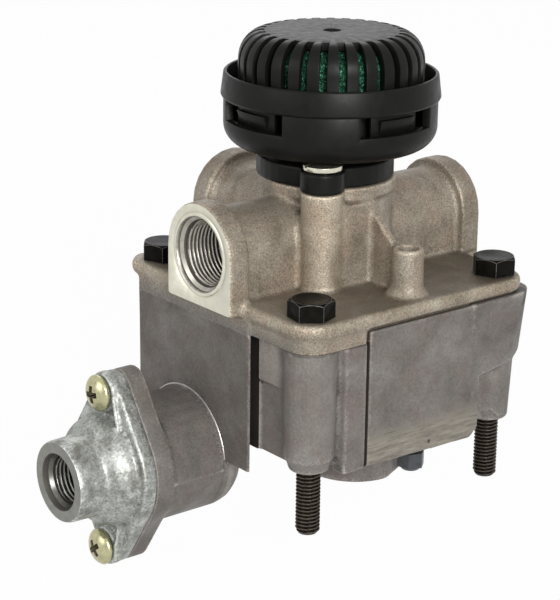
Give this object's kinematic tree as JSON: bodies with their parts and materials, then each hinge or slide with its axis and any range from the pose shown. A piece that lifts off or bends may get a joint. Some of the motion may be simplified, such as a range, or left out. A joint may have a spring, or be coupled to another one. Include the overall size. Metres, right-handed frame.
{
  "type": "relay valve",
  "caption": "Cast two-part air relay valve with threaded side ports, a bolted control-port adaptor, through bolts and a slotted black exhaust silencer on top.",
  "frame": {"origin": "where the valve's axis meets the flat end of the boss under the lower housing", "axes": "+Z along the valve's axis from the lower housing to the silencer, +X from the control side to the far delivery port, +Y to the supply port"},
  "size_m": [0.1513, 0.1021, 0.1701],
  "materials": {
    "cast_warm": "sand-cast, rough",
    "cast_dark": "die-cast, dull",
    "cast_pale": "die-cast, blasted",
    "machined": "machined",
    "steel_black": "black oxide",
    "zinc_yellow": "yellow zinc plate",
    "zinc_white": "white zinc plate",
    "spring_steel": "bright wire",
    "plug_dark": "dark plated",
    "plastic_black": "moulded, matt",
    "rubber_black": "smooth",
    "knit_green": "knitted wire and thread"
  },
  "bodies": {
    "housing": {"upper_housing": "cast_warm", "lower_housing": "cast_dark", "control_adaptor": "cast_pale", "adaptor_seal": "rubber_black", "adaptor_screw_upper": "zinc_yellow", "adaptor_screw_lower": "zinc_yellow", "bolt_front": "steel_black", "bolt_right": "steel_black", "bolt_rear": "steel_black", "bolt_left": "steel_black", "passage_plug": "plug_dark", "housing_seal": "rubber_black", "valve_spring": "spring_steel", "valve_guide": "plastic_black", "guide_seal": "rubber_black", "retaining_ring": "spring_steel", "silencer_base": "plastic_black", "silencer_bowl": "plastic_black", "silencer_cover": "plastic_black", "silencer_filter": "knit_green", "silencer_screw_front": "zinc_white", "silencer_screw_rear": "zinc_white"},
    "piston": {"relay_piston": "machined", "piston_seal": "rubber_black"},
    "valve": {"valve_tube": "machined", "valve_facing": "rubber_black"}
  },
  "joints": [
    {"name": "piston_slide", "type": "slide", "parent": "housing", "child": "piston", "axis": [0, 0, 1], "range_m": [0, 0.005]},
    {"name": "valve_slide", "type": "slide", "parent": "housing", "child": "valve", "axis": [0, 0, 1], "range_m": [0, 0.003], "stiffness_N_per_m": 3000, "springref_m": -0.006, "deforming": ["valve_spring"]}
  ],
  "couplings": [
    {"joint": "valve_slide", "follows": "piston_slide", "ratio": 0.6}
  ]
}
